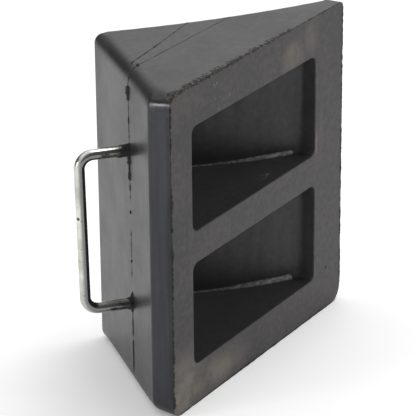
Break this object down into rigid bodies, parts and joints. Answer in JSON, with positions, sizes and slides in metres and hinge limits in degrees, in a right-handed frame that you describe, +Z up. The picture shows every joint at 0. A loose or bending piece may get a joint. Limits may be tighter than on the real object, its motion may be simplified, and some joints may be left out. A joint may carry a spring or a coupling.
{
  "type": "wheel chock",
  "caption": "Moulded rubber wheel chock: a wedge with a hollow ribbed wheel face, a pocketed sole and a bent steel bar handle moulded into its back face.",
  "frame": {"origin": "under the middle of the bounding box, on the surface that the chock stands on", "axes": "the chock stands on one of its triangular sides: +X along the sole towards the toe, +Y away from the sole towards the ridge, +Z up across the width. In use it is turned a quarter turn about X, so that the sole, facing -Y here, lies on the ground"},
  "size_m": [0.2488, 0.123, 0.25],
  "materials": {
    "moulded_rubber": "semi-gloss moulded rubber, dusty on the sole",
    "zinc_plated_steel": "bright zinc plating, slightly yellowed and scuffed"
  },
  "bodies": {
    "root": {"chock_body": "moulded_rubber", "handle_bar": "zinc_plated_steel", "anchor_washer_upper": "zinc_plated_steel", "anchor_washer_lower": "zinc_plated_steel"}
  },
  "joints": []
}
